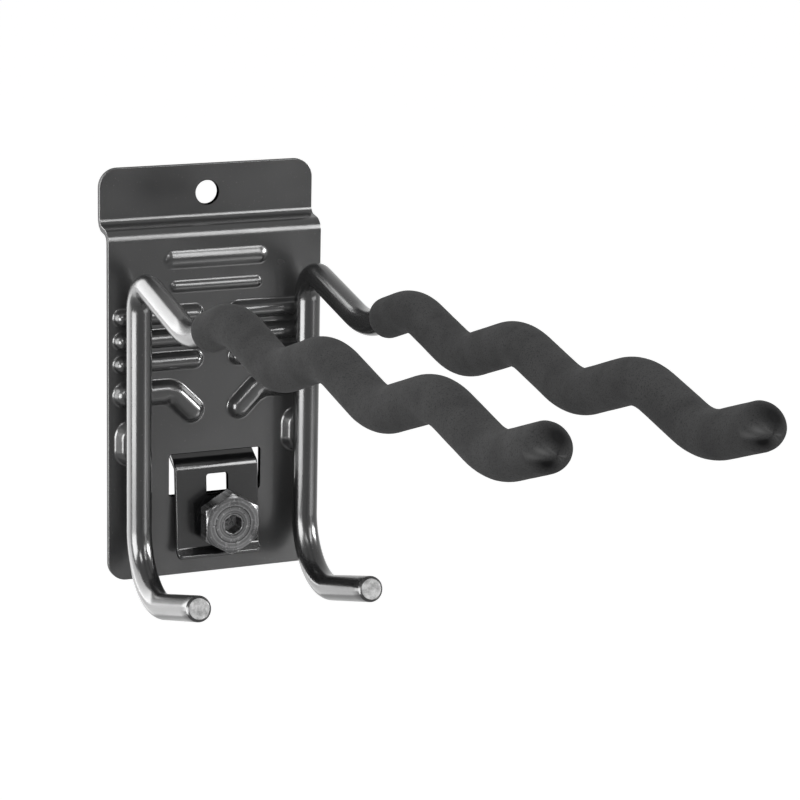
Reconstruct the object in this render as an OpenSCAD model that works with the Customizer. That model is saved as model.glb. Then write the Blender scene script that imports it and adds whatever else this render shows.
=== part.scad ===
// Hanger bracket for a grooved wall panel: a pressed back plate, two bent rods with wavy
// padded arms and short prongs, and a lock clip that a hex-headed cam lifts.
// Front is -Y and the wall is the plane y = 0. The origin is on the wall face, mid width.

/* [Back plate] */
// Width of the plate
plate_w = 76.2; // [74:0.1:90]
// Thickness of the plate's sheet
plate_t = 2; // [1.6:0.1:2.4]
// Height of the flat face, from the bottom edge to the first bend
face_h = 120.5; // [119:0.1:130]
// How far the flange stands behind the face, front to front
step_depth = 8.8; // [8:0.1:10]
// How far the step between face and flange climbs
step_rise = 1.3; // [0.5:0.1:2.5]
// Height of the flange, from the second bend to its top edge
flange_h = 18.6; // [17:0.1:22]
// Radius of the plate's four corners
plate_corner_r = 6.4; // [3:0.1:7]
// Inside radius of the two bends at the step
step_bend_r = 2.3; // [1.6:0.1:2.6]
// Height of the origin above the plate's bottom edge
origin_h = 49; // [46:0.5:52]
// Diameter of the screw hole in the flange
screw_hole_d = 8.2; // [5:0.1:9]
// Distance from the flange's top edge down to the screw hole's centre
screw_hole_drop = 9.75; // [8:0.05:11]

/* [Beads] */
// Height of the beads and pads in front of the face
bead_h = 3.5; // [3:0.1:3.6]
// Width of a short bead
bead_w = 7.2; // [6.6:0.1:7.4]
// Distance between short beads
bead_pitch = 8; // [7.6:0.1:8.2]
// Short beads on each side
bead_count = 3; // [1:1:3]
// Height of the top short bead above the bottom edge
bead_top_z = 91.5; // [91:0.1:92]
// Gap between the left and right short beads
bead_gap = 8.2; // [6:0.1:12]
// Bare sheet left between a bead's outer end and the plate's side
bead_margin = 1; // [0.6:0.1:2]
// Width of the bent bead below the short ones
elbow_w = 9.5; // [8:0.1:10]
// Height of the bent bead's level part
elbow_z = 64.9; // [64.4:0.1:65.4]
// Distance of the bent bead's corner from the middle of the plate
elbow_corner_x = 15.7; // [14:0.1:18]
// Distance of the bent bead's lower end from the middle of the plate
elbow_end_x = 8.6; // [7.5:0.1:10]
// Width of the pad behind each rod
pad_w = 12.2; // [10:0.1:13]
// Length of the pad behind each rod
pad_l = 16.6; // [15:0.1:18]
// Height of the pad's centre above the bottom edge
pad_z = 48; // [47.5:0.1:48.5]
// Height of the two plain beads below the step, in front of the face
plain_h = 1; // [0.8:0.1:2]
// Length of the upper plain bead
plain_upper_l = 38; // [30:0.5:42]
// Width of the upper plain bead
plain_upper_w = 7; // [5:0.1:8]
// Height of the upper plain bead above the bottom edge
plain_upper_z = 110; // [109.5:0.1:111]
// Length of the lower plain bead
plain_lower_l = 34; // [26:0.5:38]
// Width of the lower plain bead
plain_lower_w = 5; // [4:0.1:6]
// Height of the lower plain bead above the bottom edge
plain_lower_z = 100.8; // [100:0.1:101.5]

/* [Rods] */
// Diameter of the rods
rod_d = 8.7; // [8:0.05:9.5]
// Distance of each rod from the middle of the plate
rod_x = 30.1; // [29:0.1:31]
// Height of the corner where the upright turns into the prong
prong_z = -6.9; // [-10:0.1:-5]
// How far the prong's end is in front of the upright
prong_reach = 58.4; // [45:0.1:70]
// How far the prong climbs from its corner
prong_rise = 16.7; // [10:0.1:22]
// Bend radius of the rod at the prong, to the rod's centre
prong_bend_r = 20.5; // [12:0.5:26]
// Chamfer on the rod's cut end
rod_chamfer = 0.9; // [0.4:0.1:1.4]
// Height of the corner where the upright turns into the arm
shoulder_z = 107.2; // [105:0.1:112]
// Bend radius of the rod at the shoulder, to the rod's centre
shoulder_bend_r = 9.7; // [8:0.1:12]
// Forward run of the arm from the upright to its first trough
dip_run = 50.4; // [45:0.1:56]
// Fall of the arm over that run
dip_drop = 10.3; // [6:0.1:14]
// Forward run of half a wave
wave_step = 36.9; // [34:0.1:42]
// Climb from a trough to the next crest
wave_rise = 13.6; // [11:0.1:16]
// Fall from a crest to the next trough
wave_drop = 7.5; // [5:0.1:9]
// Whole waves after the first trough
wave_count = 3; // [1:1:4]
// Forward run from the last trough to the rod's end
tip_run = 26; // [20:0.1:34]
// Bend radius of the waves, to the rod's centre
wave_bend_r = 34; // [22:0.5:38]

/* [Foam sleeves] */
// Outer diameter of the foam
foam_d = 13.3; // [12:0.1:16]
// Forward run from the first trough to the start of the foam
foam_start_run = 16; // [11:0.1:18]
// Rounding of the foam's open end
foam_edge_r = 1.5; // [0.8:0.1:1.7]
// Gap between the rod and the foam around it
foam_clear = 0.1; // [0.05:0.05:0.2]

/* [Lock] */
// Width of the window in the plate
window_w = 33; // [31.5:0.1:36]
// Height of the window
window_h = 14.5; // [14:0.1:15]
// Height of the window's lower edge above the bottom edge
window_z = 28.1; // [27.6:0.1:28.6]
// Radius of the window's corners
window_r = 1; // [0.5:0.1:2]
// Width of the clip
clip_w = 30; // [28:0.1:30.6]
// Thickness of the clip's sheet
clip_t = 1.8; // [1.5:0.1:1.9]
// Gap between the clip's back and the plate at the clip's top bend
clip_clear = 0.2; // [0.15:0.05:0.4]
// Height of the clip's top bend above the bottom edge
clip_top_z = 38.6; // [38.2:0.1:38.8]
// Height of the clip's bottom bend above the bottom edge
clip_bottom_z = 10.2; // [9.6:0.1:10.4]
// Inside radius of the clip's bends
clip_bend_r = 1.2; // [0.8:0.1:1.4]
// How far the clip's face leans out between its two bends
clip_lean = 2.2; // [1.6:0.1:2.4]
// How far the clip's lip stands in front of the bottom bend
lip_reach = 2; // [1.4:0.1:2.2]
// How far the lip's edge is below the bottom bend
lip_drop = 2.7; // [2:0.1:3.2]
// Climb of the clip's ledge from the top bend to the tongue
ledge_rise = 6.4; // [5.6:0.1:6.5]
// Height of the tongue behind the plate, above the ledge
tongue_h = 13; // [8:0.1:15]
// Radius of the clip's corners
clip_corner_r = 1.6; // [0.6:0.1:2.4]
// Width of the square hole in the clip
peep_w = 7.7; // [5:0.1:9]
// Height of the square hole in the clip
peep_h = 7.3; // [5:0.1:7.6]
// Height of the square hole's centre above the bottom edge
peep_z = 31.7; // [31.5:0.1:32]
// Radius of the square hole's corners
peep_r = 1; // [0.4:0.1:2]

/* [Lock cam] */
// Width of the hex head across its flats
hex_af = 19.05; // [17:0.05:19.1]
// Thickness of the hex head
hex_t = 6.1; // [5:0.1:8]
// Width across the flats of the socket in the hex head
socket_af = 6; // [5:0.1:8]
// Depth of the socket
socket_depth = 5; // [3:0.1:5.5]
// Distance of the hex head's back from the wall
hex_back = 9; // [8.9:0.1:11]
// Height of the pivot above the bottom edge
pivot_z = 19.9; // [19.7:0.1:20.1]
// How far the journal's centre stands off the pivot
cam_throw = 1.9; // [1:0.1:1.9]
// Diameter of the journal in the clip's slot
journal_d = 12; // [11.9:0.1:12.2]
// Gap between the journal and each side of the slot
journal_clear = 0.1; // [0.08:0.01:0.14]
// Diameter of the collar behind the hex head
collar_d = 17; // [15:0.1:17]
// Gap between the collar and the clip's bottom bend
collar_clear = 0.4; // [0.3:0.05:0.5]
// Diameter of the pin through the plate
pin_d = 8; // [6:0.1:8]
// Running gap around the pin
pin_clear = 0.06; // [0.03:0.01:0.1]
// Most that the cam turns each way
cam_turn = 45; // [30:1:45]

/* [Welds] */
// Diameter of the weld between a rod and a bead
weld_d = 5; // [3:0.1:5.6]
// Gap between the rod and the beads, which the weld fills
weld_gap = 0.1; // [0.05:0.05:0.3]

/* [Hidden] */
$fn = 64;
rod_r = rod_d / 2;
rod_y = plate_t + bead_h + weld_gap + rod_r;   // distance of the uprights from the wall
plate_h = face_h + step_rise + flange_h;
screw_hole_z = plate_h - screw_hole_drop;
bead_outer_x = plate_w / 2 - bead_margin;
channel_narrowing = 1.7 * plate_t;     // how much narrower the hollow behind a bead is
elbow_inside_r = 1;                    // of the bent bead's corner
tongue_y = step_depth - plate_t;       // front of the flange and of the clip's tongue
clip_front = plate_t + clip_clear + clip_t;
clip_bottom_front = clip_front + clip_lean;
lip_z = clip_bottom_z - lip_drop;
hex_front = hex_back + hex_t;
collar_back = clip_bottom_front + collar_clear;
journal_back = plate_t + pin_clear;
journal_run = cam_throw * (1 - cos(cam_turn));   // sideways travel of the journal
slot_r = journal_d / 2 + journal_clear;
slot_end_gap = 0.2;
tail_h = plate_t / 2;                  // length of the pin's riveted tail
hex_bevel = 1;                         // height of the cone that rounds the head's front edges
hex_spare = 1.75;                      // by how much it is wider than the flats where it begins
elbow_angle = 45;
bend_swell = 0.03;                     // how much bends and round ends are thicker
bend_lap = 0.2;                        // how far straights go on into them
spare = 1;                             // how far a cut goes on past what it cuts
far = 400;
rightward = 0;
upward = 90;
leftward = 180;

// ---- Frame and directions ----

// Heights are given above the bottom edge, and the origin is origin_h above it
module from_bottom_edge() translate([0, 0, -origin_h]) children();

// Turns x, y and z into y, z and x: side views are drawn in x and y
module side_on() rotate([90, 0, 90]) children();

// Turns x and y into x and z at distance d from the wall, with z pointing forward
module face_on(d) translate([0, -d, 0]) rotate([90, 0, 0]) children();

// Places a rod's own plane: x is the way forward from the upright, y is up
module rod_plane(x) translate([x, -rod_y, 0]) rotate([90, 0, -90]) children();

module round_rect(w, h, r) {
    square([w - 2 * r, h], center = true);
    square([w, h - 2 * r], center = true);
    for (sx = [-1, 1], sy = [-1, 1])
        translate([sx * (w / 2 - r), sy * (h / 2 - r)]) circle(r);
}

// Keeps what lies inside a rounded rectangle seen from the front, centred at height z
module front_trim(w, h, r, z) intersection() {
    children();
    translate([0, 0, z]) face_on(-far / 2) linear_extrude(far) round_rect(w, h, r);
}

// ---- Sweeps along paths with round bends ----

function heading(a, b) = atan2(b.y - a.y, b.x - a.x);
function wrap(a) = a > 180 ? a - 360 : a < -180 ? a + 360 : a;
function turn(p, i) = wrap(heading(p[i], p[i + 1]) - heading(p[i - 1], p[i]));

// How much a bend of radius r takes off the straights on each side of corner i
function bend_cut(p, radii, i) =
    i == 0 || i == len(p) - 1 ? 0 : radii[i] * tan(abs(turn(p, i)) / 2);

// The legs of path p as [straight length, turn after it, bend radius]
function legs(p, radii) = [for (i = [0 : len(p) - 2])
    [norm(p[i + 1] - p[i]) - bend_cut(p, radii, i) - bend_cut(p, radii, i + 1),
     i < len(p) - 2 ? turn(p, i + 1) : 0, radii[i + 1]]];

// Sweeps the children along the legs from x = 0 towards +x. In the children x is left of the
// way and y is up. Each leg is drawn in the place where the one before it ended. The bends are
// swollen by $swell, and the straights go on into them by bend_lap, so that they join. They go
// on past the start and the end of the path by first_lap and last_lap, where an end piece is
module sweep(leg, first_lap = 0, last_lap = 0, i = 0) {
    lap = i == 0 ? first_lap : bend_lap;
    next_lap = i == len(leg) - 1 ? last_lap : bend_lap;
    translate([-lap, 0, 0]) side_on() linear_extrude(leg[i][0] + lap + next_lap) {
        $swell = 0;
        children();
    }
    translate([leg[i][0], 0, 0]) if (i < len(leg) - 1) {
        side = sign(leg[i][1]);
        r = leg[i][2];
        translate([0, side * r, 0]) {
            rotate([0, 0, side > 0 ? -90 : 90 + leg[i][1]])
                rotate_extrude(angle = abs(leg[i][1]))
                    translate([r, 0]) mirror([side > 0 ? 1 : 0, 0]) {
                        $swell = bend_swell;
                        children();
                    }
            rotate([0, 0, leg[i][1]]) translate([0, -side * r, 0])
                sweep(leg, first_lap, last_lap, i + 1) children();
        }
    }
}

// Sweeps the children along path p, with bend radius radii[i] at corner i
module sweep_path(p, radii) translate([p[0].x, p[0].y, 0]) rotate([0, 0, heading(p[0], p[1])])
    sweep(legs(p, radii)) children();

// A folded sheet w wide and t thick, with its bends round by r inside. Path p is its front, and
// the sheet lies right of the path
module folded_sheet(p, w, t, r) {
    radii = [for (i = [0 : len(p) - 1])
        i == 0 || i == len(p) - 1 ? 0 : turn(p, i) < 0 ? r + t : r];
    side_on() sweep_path(p, radii)
        translate([-t - $swell, -w / 2 - $swell]) square([t + 2 * $swell, w + 2 * $swell]);
}

// ---- Back plate ----

// The front half of a bead's section: a flat arc h high and w wide at the sheet's surface,
// which goes on below the surface by sink
module bead_section(w, h, sink) {
    r = (h * h + w * w / 4) / (2 * h);
    intersection() {
        translate([0, h - r]) circle(r);
        translate([-w, -sink]) square([2 * w, sink + 2 * h]);
    }
}
module bead_end(w, h, sink) rotate_extrude(angle = 180) intersection() {
    bead_section(w + 2 * bend_swell, h + bend_swell, sink);
    translate([0, -w]) square(2 * w);
}

// A bead with round ends along the legs, on the sheet's surface at distance d from the wall
module bead(at, way, leg, w, h, d, sink)
    face_on(d) translate([at.x, at.y, 0]) rotate([0, 0, way]) {
        sweep(leg, bend_lap, bend_lap) bead_section(w + 2 * $swell, h + $swell, sink);
        rotate([0, 0, 90]) bead_end(w, h, sink);
        at_end(leg) rotate([0, 0, -90]) bead_end(w, h, sink);
    }

// Places the children where the legs end
module at_end(leg, i = 0) translate([leg[i][0], 0, 0]) {
    side = sign(leg[i][1]);
    if (i == len(leg) - 1) children();
    else translate([0, side * leg[i][2], 0]) rotate([0, 0, leg[i][1]])
        translate([0, -side * leg[i][2], 0]) at_end(leg, i + 1) children();
}

// A level bead of length l over all, as [start, direction, legs, width, height]
function level_bead(x, z, l, w, h) = [[x + w / 2, z], rightward, [[l - w, 0, 0]], w, h];

short_bead_l = bead_outer_x - bead_gap / 2;
elbow_run = bead_outer_x - elbow_w / 2 - elbow_corner_x;
elbow_tail = (elbow_corner_x - elbow_end_x) / cos(elbow_angle);
elbow_bend_r = elbow_w / 2 + elbow_inside_r;
elbow_cut = elbow_bend_r * tan(elbow_angle / 2);
elbow_legs = [[elbow_run - elbow_cut, elbow_angle, elbow_bend_r], [elbow_tail - elbow_cut, 0, 0]];

// The beads of the plate's right side, and those across its middle
side_beads = concat(
    [for (i = [0 : bead_count - 1])
        level_bead(bead_gap / 2, bead_top_z - i * bead_pitch, short_bead_l, bead_w, bead_h)],
    [[[bead_outer_x - elbow_w / 2, elbow_z], leftward, elbow_legs, elbow_w, bead_h],
     [[rod_x, pad_z - (pad_l - pad_w) / 2], upward, [[pad_l - pad_w, 0, 0]], pad_w, bead_h]]);
middle_beads = [
    level_bead(-plain_upper_l / 2, plain_upper_z, plain_upper_l, plain_upper_w, plain_h),
    level_bead(-plain_lower_l / 2, plain_lower_z, plain_lower_l, plain_lower_w, plain_h)];

module raised(b) bead(b[0], b[1], b[2], b[3], b[4], plate_t, plate_t / 2);
// The hollow behind a bead, which leaves about one sheet's thickness over it
module hollow(b) bead(b[0], b[1], b[2], b[3] - channel_narrowing, b[4], 0, spare);

module both_sides() for (side = [0, 1]) mirror([side, 0, 0]) children();

plate_path = [[-plate_t, 0], [-plate_t, face_h], [tongue_y, face_h + step_rise],
              [tongue_y, plate_h]];

module back_plate() color("#3a3b3e") from_bottom_edge() difference() {
    union() {
        front_trim(plate_w, plate_h, plate_corner_r, plate_h / 2)
            folded_sheet(plate_path, plate_w + 2 * spare, plate_t, step_bend_r);
        both_sides() for (b = side_beads) raised(b);
        for (b = middle_beads) raised(b);
    }
    both_sides() for (b = side_beads) hollow(b);
    for (b = middle_beads) hollow(b);
    translate([0, 0, window_z + window_h / 2]) face_on(-far / 2)
        linear_extrude(far) round_rect(window_w, window_h, window_r);
    translate([0, 0, screw_hole_z]) face_on(-far / 2) cylinder(h = far, d = screw_hole_d);
    at_pivot() face_on(-far / 2) cylinder(h = far, d = pin_d + 2 * pin_clear);
    at_pivot() tail(pin_clear, -spare);
}

// ---- Rods and foam ----

climb = wave_rise - wave_drop;
slope = wave_rise / wave_step;
function trough(i) = [dip_run + 2 * i * wave_step, shoulder_z - dip_drop + i * climb];
function crest(i) = trough(i) + [wave_step, wave_rise];
waves = [for (i = [0 : wave_count - 1]) each [crest(i), trough(i + 1)]];
rod_tip = trough(wave_count) + [tip_run, tip_run * slope];
prong_tip = [prong_reach, prong_z + prong_rise];

rod_path = concat([prong_tip, [0, prong_z], [0, shoulder_z], trough(0)], waves, [rod_tip]);
rod_radii = concat([0, prong_bend_r, shoulder_bend_r, wave_bend_r], [for (i = waves) wave_bend_r], [0]);
foam_path = concat([trough(0) + [foam_start_run, foam_start_run * slope]], waves, [rod_tip]);
foam_radii = concat([0], [for (i = waves) wave_bend_r], [0]);

module rod(x) rod_plane(x) translate([prong_tip.x, prong_tip.y, 0])
    rotate([0, 0, heading(rod_path[0], rod_path[1])]) difference() {
        sweep(legs(rod_path, rod_radii)) circle(rod_r + $swell);
        rotate([0, 90, 0]) rotate_extrude() polygon([[rod_r - rod_chamfer - spare, -spare],
            [rod_r + spare, -spare], [rod_r + spare, rod_chamfer + spare]]);
    }

foam_r = foam_d / 2;
foam_bore_r = rod_r + foam_clear;
foam_legs = legs(foam_path, foam_radii);
edge_legs = [for (i = [0 : len(foam_legs) - 1])
    i == 0 ? foam_legs[0] - [foam_edge_r, 0, 0] : i == len(foam_legs) - 1
        ? foam_legs[i] + [foam_clear, 0, 0] : foam_legs[i]];

// The foam's open end, rounded outside
module foam_edge() rotate([0, 90, 0]) rotate_extrude() {
    r = foam_r + bend_swell - foam_edge_r;
    bore_r = foam_bore_r - bend_swell;
    translate([bore_r, 0]) square([r - bore_r, foam_edge_r]);
    translate([r, foam_edge_r]) intersection() {
        circle(foam_edge_r);
        translate([0, -foam_edge_r]) square(foam_edge_r);
    }
}

// The foam's closed end
module foam_dome() rotate([0, 90, 0]) rotate_extrude() intersection() {
    circle(foam_r + bend_swell);
    square(foam_r + bend_swell);
}

module foam(x) rod_plane(x) translate([foam_path[0].x, foam_path[0].y, 0])
    rotate([0, 0, heading(foam_path[0], foam_path[1])]) {
        foam_edge();
        translate([foam_edge_r, 0, 0]) {
            sweep(edge_legs, bend_lap, bend_lap) difference() {
                circle(foam_r + $swell);
                circle(foam_bore_r - $swell);
            }
            at_end(edge_legs) foam_dome();
        }
    }

module left_arm_rod() color("#47484b") from_bottom_edge() rod(-rod_x);
module right_arm_rod() color("#47484b") from_bottom_edge() rod(rod_x);
module left_arm_foam() color("#434345") from_bottom_edge() foam(-rod_x);
module right_arm_foam() color("#434345") from_bottom_edge() foam(rod_x);

// ---- Welds ----

// The metal between a rod and each bead and pad that it lies on
module welds(side) for (b = side_beads)
    mirror([side, 0, 0]) weld(b, b[1] == upward ? pad_z : b[0].y);

module weld(b, z) difference() {
    translate([rod_x, 0, z]) face_on(plate_t) cylinder(h = bead_h + rod_r, d = weld_d);
    translate([rod_x, -rod_y, z - weld_d]) cylinder(h = 2 * weld_d, r = rod_r);
    raised(b);
}

module left_rod_welds() color("#3f4043") from_bottom_edge() welds(1, $fn = 160);
module right_rod_welds() color("#3f4043") from_bottom_edge() welds(0, $fn = 160);

// ---- Lock ----

clip_path = [[-clip_bottom_front - lip_reach, lip_z], [-clip_bottom_front, clip_bottom_z],
             [-clip_front, clip_top_z], [tongue_y, clip_top_z + ledge_rise],
             [tongue_y, clip_top_z + ledge_rise + tongue_h]];
clip_h = clip_path[4].y - lip_z;

// The slot that the journal works in, level along x
module cam_slot() {
    for (x = [-slot_end_gap, journal_run + slot_end_gap]) translate([x, pivot_z]) circle(slot_r);
    translate([-slot_end_gap, pivot_z - slot_r])
        square([journal_run + 2 * slot_end_gap, 2 * slot_r]);
}

module lock_clip() color("#2f3033") from_bottom_edge() difference() {
    front_trim(clip_w, clip_h, clip_corner_r, lip_z + clip_h / 2)
        folded_sheet(clip_path, clip_w + 2 * spare, clip_t, clip_bend_r);
    translate([0, 0, peep_z]) face_on(0) linear_extrude(far)
        round_rect(peep_w, peep_h, peep_r);
    face_on(0) linear_extrude(far) cam_slot();
}

// At rest the journal is centred on the plate and the pivot is one throw to its right
module at_pivot() translate([cam_throw, 0, pivot_z]) children();

// The pin's riveted tail in the plate's back, grown by the gap, ending short of the wall face
module tail(gap, short) translate([0, -tail_h, 0]) rotate([-90, 0, 0])
    cylinder(h = tail_h - short, r1 = pin_d / 2 + gap, r2 = pin_d / 2 + gap + tail_h - short);

// A hexagon af wide across its flats, with two corners up and down
module hexagon(af) rotate(30) circle(r = af / sqrt(3), $fn = 6);

// The hex head with the edges of its front rounded off by a cone
module hex_head() difference() {
    intersection() {
        face_on(hex_back) linear_extrude(hex_t) hexagon(hex_af);
        face_on(hex_back) {
            cylinder(h = hex_t - hex_bevel, r = hex_af / 2 + hex_spare);
            translate([0, 0, hex_t - hex_bevel])
                cylinder(h = hex_bevel, r1 = hex_af / 2 + hex_spare, r2 = hex_af / 2);
        }
    }
    face_on(hex_front - socket_depth) linear_extrude(hex_t) hexagon(socket_af);
}

module lock_cam() color("#55565a") from_bottom_edge() at_pivot() {
    hex_head();
    face_on(collar_back) cylinder(h = hex_back - collar_back, d = collar_d);
    translate([-cam_throw, 0, 0]) face_on(journal_back)
        cylinder(h = collar_back - journal_back, d = journal_d);
    face_on(tail_h) cylinder(h = journal_back - tail_h, d = pin_d);
    tail(0, pin_clear);
}

back_plate();
left_arm_rod();
right_arm_rod();
left_arm_foam();
right_arm_foam();
left_rod_welds();
right_rod_welds();
lock_clip();
lock_cam();
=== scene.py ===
"""The looks of a slatwall hanger bracket: a pressed plate, two bent rods in wavy foam, and a cam lock.

Lengths are in millimetres, with heights above the plate's bottom edge as in the part's source,
until a mesh is made: it is in metres, in the frame of the CAD model.
"""
from math import (acos, asin, atan2, ceil, copysign, cos, exp, hypot, pi, radians, remainder,
                  sin, tan, tau)

import bpy
import numpy as np
from mathutils import Matrix, Vector, noise
from mathutils.bvhtree import BVHTree
from mathutils.geometry import delaunay_2d_cdt
from numpy.linalg import norm


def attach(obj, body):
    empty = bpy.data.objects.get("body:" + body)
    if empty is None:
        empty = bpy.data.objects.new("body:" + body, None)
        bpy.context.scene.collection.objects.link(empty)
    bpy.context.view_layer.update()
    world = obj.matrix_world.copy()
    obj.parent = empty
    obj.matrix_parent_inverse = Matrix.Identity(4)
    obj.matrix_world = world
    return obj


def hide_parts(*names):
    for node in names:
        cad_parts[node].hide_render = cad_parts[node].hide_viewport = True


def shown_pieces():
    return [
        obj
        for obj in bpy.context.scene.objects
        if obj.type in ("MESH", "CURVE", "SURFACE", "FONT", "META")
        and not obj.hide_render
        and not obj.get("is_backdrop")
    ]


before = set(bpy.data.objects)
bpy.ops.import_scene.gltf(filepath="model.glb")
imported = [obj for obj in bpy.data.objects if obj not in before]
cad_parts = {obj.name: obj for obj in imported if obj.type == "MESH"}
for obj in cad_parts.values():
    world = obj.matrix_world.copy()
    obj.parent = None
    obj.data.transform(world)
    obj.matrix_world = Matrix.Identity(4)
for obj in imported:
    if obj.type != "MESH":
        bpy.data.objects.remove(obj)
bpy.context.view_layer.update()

MM = 0.001
ORIGIN_H = 49.0                          # the frame's origin, above the plate's bottom edge

# ---- Sizes, as in the CAD model ----

PLATE_W, PLATE_T, FACE_H, STEP_DEPTH, STEP_RISE, FLANGE_H = 76.2, 2.0, 120.5, 8.8, 1.3, 18.6
PLATE_H = FACE_H + STEP_RISE + FLANGE_H
PLATE_CORNER_R, STEP_BEND_R, CLIP_BEND_R = 6.4, 2.3, 1.2
SCREW_HOLE_R, SCREW_HOLE_DROP = 4.1, 9.75
SCREW_HOLE_Z = PLATE_H - SCREW_HOLE_DROP
WINDOW_W, WINDOW_H, WINDOW_Z, WINDOW_R = 33.0, 14.5, 28.1, 1.0
TONGUE_Y = STEP_DEPTH - PLATE_T

BEAD_H, BEAD_MARGIN, BEAD_GAP = 3.5, 1.0, 8.2
BEAD_INNER_X, BEAD_OUTER_X = BEAD_GAP / 2, PLATE_W / 2 - BEAD_MARGIN
SHORT_BEAD = dict(w=7.2, top=91.5, pitch=8.0, count=3, top_r=2.3, flat=0.1)
ELBOW = dict(w=9.5, z=64.9, corner_x=15.7, end_x=8.6, inside_r=1.0, top_r=2.7, flat=0.9)
PAD = dict(w=12.2, length=16.6, z=48.0, top_r=1.2, flat=3.3)
FOOT_R = 0.9
HOLLOW = dict(narrower=1.2, shallower=0.05, top_r_share=0.35, foot_r=1.1)
PLAIN_BEADS = [dict(length=38.0, w=7.0, z=110.0), dict(length=34.0, w=5.0, z=100.8)]
PLAIN_BEAD_H, PLAIN_FOOT_SHARE = 1.0, 0.3

ROD_R, ROD_X, ROD_Y = 4.35, 30.1, 9.95
ROD_CHAMFER = 0.9
SHOULDER_Z, PRONG_Z, PRONG_REACH, PRONG_RISE = 107.2, -6.9, 58.4, 16.7
PRONG_BEND_R, SHOULDER_BEND_R, WAVE_BEND_R = 20.5, 9.7, 34.0
DIP_RUN, DIP_DROP = 50.4, 10.3
WAVE_STEP, WAVE_RISE, WAVE_DROP, WAVE_COUNT, TIP_RUN = 36.9, 13.6, 7.5, 3, 26.0
WAVE_SLOPE = WAVE_RISE / WAVE_STEP
FOAM_R, FOAM_START_RUN, FOAM_EDGE_R, FOAM_CLEAR = 6.65, 16.0, 1.5, 0.1
BORE_R, BORE_DEPTH = ROD_R + FOAM_CLEAR, 6.0
ROD_SIDES, FOAM_SIDES = 48, 64

CLIP_W, CLIP_T, CLIP_CLEAR, CLIP_CORNER_R = 30.0, 1.8, 0.2, 1.6
CLIP_TOP_Z, CLIP_BOTTOM_Z, CLIP_LEAN, LIP_REACH, LIP_DROP = 38.6, 10.2, 2.2, 2.0, 2.7
LEDGE_RISE, TONGUE_H = 6.4, 13.0
CLIP_FRONT = PLATE_T + CLIP_CLEAR + CLIP_T
PEEP_W, PEEP_H, PEEP_Z, PEEP_R = 7.7, 7.3, 31.7, 1.0

PIVOT_X, PIVOT_Z, CAM_TURN = 1.9, 19.9, 45.0
HEX_AF, HEX_BACK, HEX_T, HEX_CHAMFER, HEX_CORNER_R, HEX_EDGE_R = 19.05, 9.0, 6.1, 30.0, 0.35, 0.25
HEX_FRONT = HEX_BACK + HEX_T
SOCKET_AF, SOCKET_DEPTH, SOCKET_CORNER_R, SOCKET_CONE, SOCKET_RIM = 6.0, 5.0, 0.15, 0.7, 0.42
JOURNAL_R, JOURNAL_CLEAR, PIN_R, PIN_CLEAR = 6.0, 0.1, 4.0, 0.06
COLLAR_R, COLLAR_CLEAR = 8.5, 0.4
COLLAR_BACK = CLIP_FRONT + CLIP_LEAN + COLLAR_CLEAR
TAIL_H = PLATE_T / 2
SLOT_END_GAP = 0.2

# ---- Camera and image points, in the 800 x 800 photograph ----

IMAGE = 800
CAMERA = dict(at=(-0.35913, -0.94877, 0.26979), yaw=24.33, pitch=14.26, roll=1.25,
              lens=138.09, sensor_width=36.0)

POINTS = {
    "object_left_x": (97.6, None),
    "object_right_x": (788.3, None),
    "object_top_y": (None, 158.5),
    "object_bottom_y": (None, 622.0),
    "plate_left_x": (106.3, None),
    "screw_hole": (206.6, 192.3),
    "window_top_left": (169.3, 456.7),
    "window_top_right": (259.7, 446.3),
    "clip_hole": (216.5, 483.3),
    "hex_front": (233.2, 524.7),
    "left_prong_end": (199.2, 608.0),
    "right_prong_end": (372.5, 589.9),
    "left_foam_tip_x": (571.0, None),
    "left_foam_first_top_y": (None, 305.5),
    "left_foam_last_bottom_y": (None, 483.3),
    "right_foam_first_top_y": (None, 291.7),
    "right_foam_last_bottom_y": (None, 461.4),
}


def camera_axes():
    """Right, up and forward of the camera, from its yaw, pitch and roll."""
    yaw, pitch, roll = (radians(CAMERA[k]) for k in ("yaw", "pitch", "roll"))
    forward = Vector((sin(yaw) * cos(pitch), cos(yaw) * cos(pitch), -sin(pitch)))
    level_right = Vector((cos(yaw), -sin(yaw), 0))
    level_up = level_right.cross(forward)
    right = level_right * cos(roll) + level_up * sin(roll)
    return right, right.cross(forward), forward


def add_object(name, data):
    thing = bpy.data.objects.new(name, data)
    bpy.context.scene.collection.objects.link(thing)
    return thing


def make_camera():
    right, up, forward = camera_axes()
    data = bpy.data.cameras.new("Camera")
    data.lens = CAMERA["lens"]
    data.sensor_width = CAMERA["sensor_width"]
    data.sensor_fit = "AUTO"
    camera = add_object("Camera", data)
    turn = Matrix((right, up, -forward)).transposed().to_4x4()
    camera.matrix_world = Matrix.Translation(CAMERA["at"]) @ turn
    bpy.context.scene.camera = camera
    return camera


# ---- Plane paths of straights and round bends ----


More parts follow.
